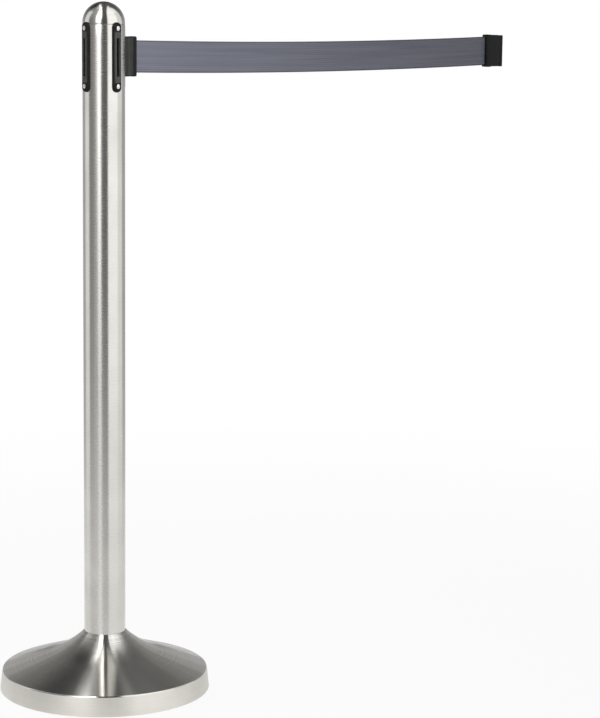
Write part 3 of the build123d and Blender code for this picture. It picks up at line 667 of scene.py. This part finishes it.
def domedCap(size):
    centre = size["domeTop"] - size["radius"]
    bm = bmesh.new()
    last = addProfile(bm, [(size["radius"], size["domeLow"]), (size["radius"], centre)])
    addArc(bm, last, (0, centre), math.pi / 2, size["domeSteps"])
    spinRound(bm, size["steps"])
    thicken(bm, size["wall"])
    easeRim(bm, size, size["domeLow"])
    return bm


addPiece("poleTube", windowedTube(pole), "brushed_stainless", ["pole_tube"], "pole")
domePiece = addPiece("domeCap", domedCap(pole), "brushed_stainless", ["dome_cap"], "pole")
domePiece.data.materials[0] = finishes["spunDomeSteel"]
print("tube and dome turned")


# Slotted plates: long rounded mouldings that sit on the tube, with a slot for a clip's hook
plate = dict(
    tall=headHigh.z - headLow.z,
    wide=headHigh.x - headLow.x,
    back=30.4,  # just inside the tube's wall at the plate's edges
    face=-headLow.y,
    endSteps=20,
    edgeRound=3.6,
    edgeSteps=6,
    slotRound=0.4,
    slotSteps=2,
    receiverSlot=(5.0, 56.0),
    outletSlot=(11.2, 58.8),
    sheenDeep=1.2,  # how far down from the face the painted reflection reaches
    sheenLong=(36.0, 38.5),  # where the painted reflection fades out, leaving the ends by the raised screws black
)
receiverTurns = {"left": 90, "opposite": 180, "right": 270}  # degrees about the axis; the outlet is at 0


def slottedPlate(size, slot):
    bm = bmesh.new()
    bmesh.ops.create_circle(bm, cap_ends=True, segments=2 * size["endSteps"], radius=size["wide"] / 2)
    bmesh.ops.rotate(bm, verts=bm.verts, matrix=Matrix.Rotation(math.pi / 2 / size["endSteps"], 3, "Z"))
    for way in (-1, 1):
        half = [vert for vert in bm.verts if vert.co.y * way > 0]
        bmesh.ops.translate(bm, verts=half, vec=(0, way * (size["tall"] - size["wide"]) / 2, 0))
    pull(bm, bm.faces[:], (0, 0, size["face"] - size["back"]))
    bmesh.ops.translate(bm, verts=bm.verts, vec=(0, 0, size["back"]))
    tidy(bm)
    rim = [edge for edge in bm.edges if all(vert.co.z > size["face"] - near for vert in edge.verts)]
    soften(bm, rim, size["edgeRound"], size["edgeSteps"])
    slotWide, slotTall = slot
    sheenFull, sheenEnd = size["sheenLong"]
    cuts = ((acrossAxis, slotWide / 2), (upAxis, slotTall / 2), (upAxis, sheenFull), (upAxis, sheenEnd))
    for axis, reach in cuts:
        for way in (-1, 1):
            cutAt(bm, bm.faces[:], axis * reach * way, axis)
    opening = [face for face in bm.faces if abs(face.calc_center_median().x) < slotWide / 2
               and abs(face.calc_center_median().y) < slotTall / 2]
    bmesh.ops.delete(bm, geom=opening, context="FACES")
    opened = [edge for edge in bm.edges if edge.is_boundary]
    halfway = (size["back"] + size["face"]) / 2  # the outlet's slot opens a little below the face
    mouth = [edge for edge in opened if edge.verts[0].co.z > halfway]
    bmesh.ops.bridge_loops(bm, edges=opened)
    tidy(bm)
    soften(bm, mouth, size["slotRound"], size["slotSteps"])

    # painted reflection: full on the face, fading down the flanks and towards the ends
    def sheenShare(spot):
        fromFace = (spot.z - size["face"]) / size["sheenDeep"] + 1
        fromEnd = (sheenEnd - abs(spot.y)) / (sheenEnd - sheenFull)
        return min(fromFace, fromEnd)

    paintSheen(bm, sheenShare)
    return bm


for side, turn in receiverTurns.items():
    addPiece("receiverPlate." + side, slottedPlate(plate, plate["receiverSlot"]), "plate_plastic",
             ["receiver_plate_" + side], "pole", atHead(turn))
addPiece("outletPlate", slottedPlate(plate, plate["outletSlot"]), "plate_plastic", ["outlet_plate"],
         "pole", atHead(0))
print("plates seated")


# Screws: raised round heads with a cross recess, two on each plate and two in the back of the clip
clipScrewLow, clipScrewHigh = boxMm("clip_screws")
plateScrew = dict(
    radius=3.3,
    low=plate["face"] - 1.2,
    edge=plate["face"] + 0.1,  # where the head begins to round over
    top=plate["face"] + 1.2,
    rise=42.4,  # above and below the middle of the head
    crossWide=0.9,
    crossLong=3.6,
    crossDeep=0.8,
)
clipScrew = dict(
    radius=(clipScrewHigh.x - clipScrewLow.x) / 2,
    low=clipScrewHigh.y - 1.6,
    edge=clipScrewHigh.y - 0.5,
    top=clipScrewHigh.y,
    rise=11.0,
    crossWide=0.7,
    crossLong=2.8,
    crossDeep=0.5,
)
screwMesh = dict(
    steps=44,  # a count that keeps every spoke off the corners of the cross
    domeSteps=8,
    flat=0.5,  # degrees, faces that turn less than this are joined
)


def crossScrew(size):
    bm = bmesh.new()
    dome = size["top"] - size["edge"]
    arc = (size["radius"] ** 2 + dome ** 2) / (2 * dome)
    last = addProfile(bm, [(0, size["low"]), (size["radius"], size["low"]),
                           (size["radius"], size["edge"])])
    addArc(bm, last, (0, size["top"] - arc), math.asin(size["radius"] / arc), screwMesh["domeSteps"])
    spinRound(bm, screwMesh["steps"])
    thin = size["crossWide"] / 2
    far = size["crossLong"] / 2
    for axis in (acrossAxis, upAxis):
        for reach in (thin, far):
            for way in (-1, 1):
                top = [face for face in bm.faces if face.calc_center_median().z > size["edge"]]
                cutAt(bm, top, axis * reach * way, axis)
    cross = []
    for face in bm.faces:
        spot = face.calc_center_median()
        less, more = sorted((abs(spot.x), abs(spot.y)))
        if spot.z > size["edge"] and less < thin and more < far:
            cross.append(face)
    around = {edge for face in cross for edge in face.edges}
    pull(bm, [*cross, *around], (0, 0, -size["crossDeep"]))
    bmesh.ops.dissolve_limit(bm, angle_limit=math.radians(screwMesh["flat"]), verts=bm.verts[:],
                             edges=bm.edges[:])
    tidy(bm)
    return bm


def screwSet(size, sides):
    # a pair of screws on each side, one above and one below the middle of the head
    every = bmesh.new()
    for side in sides:
        for way in (-1, 1):
            one = crossScrew(size)
            place = side @ Matrix.Translation((0, way * size["rise"], 0))
            bmesh.ops.transform(one, matrix=place, verts=one.verts)
            single = bpy.data.meshes.new("oneScrew")
            one.to_mesh(single)
            one.free()
            every.from_mesh(single)
            bpy.data.meshes.remove(single)
    return every


plateSides = [atHead(turn) for turn in (0, *receiverTurns.values())]
addPiece("plateScrews", screwSet(plateScrew, plateSides), "screw_steel", ["plate_screws"], "pole")
clipSide = Matrix.Translation(((clipScrewLow.x + clipScrewHigh.x) / 2, 0, 0)) @ atHead(90)
addPiece("clipScrews", screwSet(clipScrew, [clipSide]), "plated_steel", ["clip_screws"], "belt_clip")
print("screws in")


# Outlet guide: black nose with ribs across it and a rounded lip that the belt comes out of
guideLow, guideHigh = boxMm("outlet_guide")
guide = dict(
    root=guideLow.x,
    mouth=guideHigh.x,
    neck=(11.0, 58.6),
    lip=(guideHigh.y - guideLow.y, guideHigh.z - guideLow.z),
    lipStart=50.3,
    lipSlope=0.4,  # length of the step up to the lip
    lipRound=2.8,
    slot=(2.2, 51.0),
    slotDeep=14.0,
    ribs=(37.4, 39.8, 42.5, 46.2, 48.4),  # middles of the raised bands
    ribLong=1.3,
    ribProud=0.3,
    cornerRound=1.5,
    # share of the painted reflection on the neck's flat sides
    paintedSheen=0.9,
)


def ribbedNose(size):
    wide, tall = size["neck"]
    stations = [(size["root"], wide, tall)]
    proud = 2 * size["ribProud"]
    foot = size["ribLong"] / 2
    crown = foot - size["ribProud"]
    for middle in size["ribs"]:
        stations += [(middle - foot, wide, tall), (middle - crown, wide + proud, tall + proud),
                     (middle + crown, wide + proud, tall + proud), (middle + foot, wide, tall)]
    neckEnd = size["lipStart"] - size["lipSlope"]
    stations += [(neckEnd, wide, tall), (size["lipStart"], *size["lip"])]
    stations += roundedEnd(size["mouth"], *size["lip"], size["lipRound"], 1)
    stations += [(size["mouth"], *size["slot"]), (size["mouth"] - size["slotDeep"], *size["slot"])]
    bm = steppedBar(stations, size["cornerRound"])
    flat = tall / 2 - size["cornerRound"]  # the flat sides of the neck take the painted reflection; the rounded top and bottom stay black, and so does the lip
    paintSheen(bm, lambda spot: size["paintedSheen"] if spot.z < neckEnd + near and abs(spot.y) < flat + near else 0)
    return bm


addPiece("outletGuide", ribbedNose(guide), "black_plastic", ["outlet_guide"], "pole", atHead(0))
print("outlet guide shaped")


# Clip: two shells that meet in the belt's plane, with a rounded lip towards the belt, and the flat hook
clipLow, clipHigh = boxMm("clip_shell_front")
hookLow, hookHigh = boxMm("clip_hook")
clip = dict(
    start=clipLow.x,
    end=clipHigh.x,
    lip=(-2 * clipLow.y, clipHigh.z - clipLow.z),
    lipLong=10.0,
    lipSlope=0.3,  # length of the step down from the lip
    lipRound=3.2,
    body=(12.4, 53.2),
    bodyRound=2.0,
    slot=(1.6, 49.2),
    slotDeep=4.0,
    slotRound=0.48,  # at the slot's corners; the clip's own corners grow from it
    seam=0.3,
)
hook = dict(
    thick=hookHigh.y - hookLow.y,
    root=(hookLow.x, 18.0),  # where it starts inside the clip, and half its height there
    neck=(clipHigh.x, -20.0),  # this and the next are (distance out, height) of its corners
    head=(clipHigh.x + 6.0, hookLow.z - headZ),
    tip=(hookHigh.x, hookHigh.z - headZ),
    tipRound=1.2,
    edgeRound=0.5,
    edgeSteps=2,
    edgeTurn=1.0,  # radians, edges that turn more than this are eased
)


def clipBlank(size):
    lipEnd = size["start"] + size["lipLong"]
    stations = [(size["start"] + size["slotDeep"], *size["slot"]), (size["start"], *size["slot"])]
    stations += roundedEnd(size["start"], *size["lip"], size["lipRound"], -1)[::-1]
    stations += [(lipEnd - size["lipSlope"], *size["lip"]), (lipEnd, *size["body"])]
    stations += roundedEnd(size["end"], *size["body"], size["bodyRound"], 1)
    return steppedBar(stations, size["slotRound"])


def clipShell(size, way):
    bm = clipBlank(size)
    cut = bmesh.ops.bisect_plane(bm, geom=bm.verts[:] + bm.edges[:] + bm.faces[:], plane_co=(0, 0, 0),
                                 plane_no=(-way, 0, 0), clear_outer=True)
    section = [item for item in cut["geom_cut"] if isinstance(item, bmesh.types.BMEdge)]
    bmesh.ops.contextual_create(bm, geom=section)
    tidy(bm)
    parting = [edge for edge in bm.edges if all(abs(vert.co.x) < near for vert in edge.verts)]
    soften(bm, parting, size["seam"], 1)
    return bm


def flatHook(size):
    bm = bmesh.new()
    root, half = size["root"]
    neckOut, neckUp = size["neck"]
    headOut, headUp = size["head"]
    tipOut, tipUp = size["tip"]
    outline = [(root, -half), (neckOut, -half), (neckOut, neckUp), (headOut, neckUp), (headOut, headUp),
               (tipOut, headUp), (tipOut, tipUp), (neckOut, tipUp), (neckOut, half), (root, half)]
    verts = [bm.verts.new((-size["thick"] / 2, up, out)) for out, up in outline]
    bm.faces.new(verts)
    corners = [vert for vert in verts if vert.co.z > neckOut + near]
    soften(bm, corners, size["tipRound"], cornerSteps, "VERTICES")
    pull(bm, bm.faces[:], (size["thick"], 0, 0))
    tidy(bm)
    edges = [edge for edge in bm.edges if edge.calc_face_angle(0) > size["edgeTurn"]]
    soften(bm, edges, size["edgeRound"], size["edgeSteps"])
    return bm


for name, way in (("front", -1), ("back", 1)):
    addPiece("clipShell." + name, clipShell(clip, way), "black_plastic", ["clip_shell_" + name],
             "belt_clip", atHead(0))
addPiece("clipHook", flatHook(hook), "black_plastic", ["clip_hook"], "belt_clip", atHead(0))
print("clip and hook shaped")


# Studio: a white surround, a tent of cloths that only the shiny pieces see, and soft lamps
studio = dict(
    world=0.13,
    floorColour="#f6f6f4",
    floorSize=2.6,  # metres
    floorFade=(0.8, 2.4),  # metres from the axis, over which the floor gives way to the surround
    floorGlow=0.92,  # share of the floor that is plain white to the camera and in reflections
    floorSteps=96,
    tentSize=4.0,  # metres
    stripSize=0.97,  # share of the tent's size, so that strips hang inside the cloths
    taper=0.55,  # how much narrower the strips are overhead
    climbSteps=28,
    turnSteps=16,
)
plainWhite = (1, 1, 1, 1)
cameraSide = math.degrees(math.atan2(cameraSetup["place"][1], cameraSetup["place"][0]))
# Degrees round from the camera's side and up from level, brightness low and high, and the heights of
# those two in metres
cloths = [
    dict(name="rightBox", turn=(23, 80), climb=(-25, 88), glow=(1.15, 1.5), rise=(-0.3, 0.6)),
    dict(name="rightBack", turn=(116, 165), climb=(-25, 88), glow=(0.5, 0.08), rise=(0.9, 3.2)),
    dict(name="rightPleat", turn=(165, 171), climb=(-25, 88), glow=(0.45, 0.1), rise=(0.9, 3.4)),
    dict(name="rightMiddle", turn=(171, 180), climb=(-25, 88), glow=(0.25, 0.05), rise=(0.9, 3.2)),
    dict(name="leftMiddle", turn=(-180, -170), climb=(-25, 88), glow=(0.25, 0.03), rise=(0.9, 3.2)),
    dict(name="leftPleat", turn=(-170, -164), climb=(-25, 88), glow=(0.45, 0.1), rise=(0.9, 3.4)),
    dict(name="leftBack", turn=(-164, -122), climb=(-25, 88), glow=(0.5, 0.03), rise=(0.9, 3.2)),
    dict(name="leftGrey", turn=(-88, -58), climb=(-25, 88), glow=(0.27, 0.4), rise=(1.6, 3.2)),
    dict(name="leftFold", turn=(-58, -45), climb=(-25, 88), glow=(0.38, 0.5), rise=(1.6, 3.2)),
    dict(name="leftEdge", turn=(-45, -34), climb=(-25, 15), glow=(0.1, 0.85), rise=(0.2, 0.78)),
    dict(name="leftSlope", turn=(-45, -34), climb=(15, 75), glow=(1.2, 3.0), rise=(1.1, 2.4)),
    dict(name="leftBox", turn=(-34, -17), climb=(-25, 25), glow=(0.15, 2.4), rise=(0.05, 0.72)),
    dict(name="leftTop", turn=(-34, -17), climb=(25, 88), glow=(2.1, 4.4), rise=(1.7, 2.6)),
]
# The same, drawn out sideways, and carried on over the top so that they narrow less than the cloths
strips = [
    dict(name="darkGap", turn=(-16, 21), climb=(-25, 14), glow=(0.1, 0.1), rise=(0.0, 1.0)),
    dict(name="darkOver", turn=(-12, 20), climb=(14, 115), glow=(0.1, 0.1), rise=(0.0, 1.0)),
    dict(name="whiteOver", turn=(-36, -12), climb=(40, 84), glow=(2.1, 5.5), rise=(2.4, 3.0)),
    dict(name="whiteBack", turn=(-22, -12), climb=(84, 112), glow=(1.3, 2.1), rise=(3.5, 3.8)),
    dict(name="rightOver", turn=(20, 60), climb=(75, 102), glow=(0.3, 1.4), rise=(3.6, 3.8)),
    dict(name="leftOver", turn=(-58, -36), climb=(55, 115), glow=(0.3, 0.35), rise=(3.2, 3.8)),
]
lamps = {  # place and aim in metres, size in metres, watts
    "keyLamp": dict(place=(-0.3, -0.75, 1.22), aim=(0.06, 0, 0.95), size=0.5, watts=7.2),
    "fillLamp": dict(place=(0.4, -2.2, 1.7), aim=(0.2, 0, 0.5), size=1.4, watts=1.8),
    "leftLamp": dict(place=(-2.0, 0.4, 1.6), aim=(0, 0, 0.5), size=1.2, watts=10.0),
    "backLamp": dict(place=(0.6, 2.2, 1.8), aim=(0.2, 0, 0.6), size=1.4, watts=28.0),
}


def whereSeen(tree):
    # 1 for what the camera sees, straight or in a shiny or clear surface, and 0 for light on its way
    path = addNode(tree, "LightPath", {}).outputs
    either = addNode(tree, "Math", {0: path["Is Camera Ray"], 1: path["Is Glossy Ray"]},
                     operation="MAXIMUM")
    return addNode(tree, "Math", {0: either.outputs[0], 1: path["Is Transmission Ray"]},
                   operation="MAXIMUM").outputs[0]


def whiteSurround(size):
    world = bpy.data.worlds.new("studio")
    world.use_nodes = True
    scene.world = world
    tree = world.node_tree
    tree.nodes.clear()
    light = addNode(tree, "Background", {"Color": plainWhite, "Strength": size["world"]})
    seen = addNode(tree, "Background", {"Color": plainWhite, "Strength": 1.0})
    mixed = addNode(tree, "MixShader", {0: whereSeen(tree), 1: light.outputs[0], 2: seen.outputs[0]})
    addNode(tree, "OutputWorld", {"Surface": mixed.outputs[0]})


def stagePiece(name, bm, material):
    mesh = bpy.data.meshes.new(name)
    bm.to_mesh(mesh)
    bm.free()
    mesh.materials.append(material)
    mesh.shade_smooth()
    piece = bpy.data.objects.new(name, mesh)
    scene.collection.objects.link(piece)
    return piece


def emptyMaterial(name):
    material = bpy.data.materials.new(name)
    material.use_nodes = True
    material.node_tree.nodes.clear()
    return material, material.node_tree


def clothProfile(size, climb):
    bm = bmesh.new()
    low, top = (math.radians(angle) for angle in climb)
    foot = addProfile(bm, [(size * math.cos(low), size * math.sin(low))])
    addArc(bm, foot, (0, 0), top - low, studio["climbSteps"])
    return bm


def turnAbout(bm, turn):
    bmesh.ops.rotate(bm, verts=bm.verts, matrix=Matrix.Rotation(math.radians(turn), 3, "Z"))


def hang(bm, cloth):
    name = "cloth." + cloth["name"]
    material, tree = emptyMaterial(name)
    place = addNode(tree, "TexCoord", {}).outputs["Object"]
    height = addNode(tree, "SeparateXYZ", {0: place}).outputs["Z"]
    glow = addNode(tree, "MapRange", {
        "Value": height, "From Min": cloth["rise"][0], "From Max": cloth["rise"][1],
        "To Min": cloth["glow"][0], "To Max": cloth["glow"][1]})
    shine = addNode(tree, "Emission", {"Strength": glow.outputs[0]})
    addNode(tree, "OutputMaterial", {"Surface": shine.outputs[0]})
    piece = stagePiece(name, bm, material)
    piece.visible_camera = False
    piece.visible_diffuse = False
    piece.visible_shadow = False


def hangRound(cloth):
    begin, end = cloth["turn"]
    bm = clothProfile(studio["tentSize"], cloth["climb"])
    turnAbout(bm, cameraSide + begin)
    bmesh.ops.spin(bm, geom=bm.verts[:] + bm.edges[:], cent=(0, 0, 0), axis=(0, 0, 1),
                   angle=math.radians(end - begin), steps=studio["turnSteps"])
    hang(bm, cloth)


def hangOver(strip):
    size = studio["tentSize"] * studio["stripSize"]
    begin, end = (size * math.tan(math.radians(turn)) for turn in strip["turn"])
    bm = clothProfile(size, strip["climb"])
    bmesh.ops.translate(bm, verts=bm.verts, vec=(0, begin, 0))
    pullEdges(bm, (0, end - begin, 0))
    for vert in bm.verts:
        vert.co.y *= 1 - studio["taper"] * (vert.co.z / size) ** 2
    turnAbout(bm, cameraSide)
    hang(bm, strip)


def paleFloor(size):
    bm = bmesh.new()
    bmesh.ops.create_circle(bm, cap_ends=True, segments=size["floorSteps"], radius=size["floorSize"])
    material, tree = emptyMaterial("paleFloor")
    place = addNode(tree, "TexCoord", {}).outputs["Object"]
    away = addNode(tree, "VectorMath", {0: place}, operation="LENGTH").outputs["Value"]
    solid = addNode(tree, "MapRange", {
        "Value": away, "From Min": size["floorFade"][0], "From Max": size["floorFade"][1],
        "To Min": 1.0, "To Max": 0.0}, interpolation_type="SMOOTHSTEP").outputs[0]
    matt = addNode(tree, "BsdfDiffuse", {"Color": linear(size["floorColour"])})
    plain = addNode(tree, "Emission", {"Strength": 1.0})
    share = addNode(tree, "Math", {0: whereSeen(tree), 1: size["floorGlow"]}, operation="MULTIPLY")
    ground = addNode(tree, "MixShader", {0: share.outputs[0], 1: matt.outputs[0], 2: plain.outputs[0]})
    clear = addNode(tree, "BsdfTransparent", {})
    faded = addNode(tree, "MixShader", {0: solid, 1: clear.outputs[0], 2: ground.outputs[0]})
    addNode(tree, "OutputMaterial", {"Surface": faded.outputs[0]})
    stagePiece("floor", bm, material)


def softLamp(name, setup):
    lampData = bpy.data.lights.new(name, "AREA")
    lampData.size = setup["size"]
    lampData.energy = setup["watts"]
    lamp = bpy.data.objects.new(name, lampData)
    lamp.location = setup["place"]
    lamp.rotation_euler = (Vector(setup["aim"]) - lamp.location).to_track_quat("-Z", "Y").to_euler()
    lamp.visible_camera = False
    lamp.visible_glossy = False
    scene.collection.objects.link(lamp)


whiteSurround(studio)
for cloth in cloths:
    hangRound(cloth)
for strip in strips:
    hangOver(strip)
paleFloor(studio)
for name, setup in lamps.items():
    softLamp(name, setup)
print("studio lit")
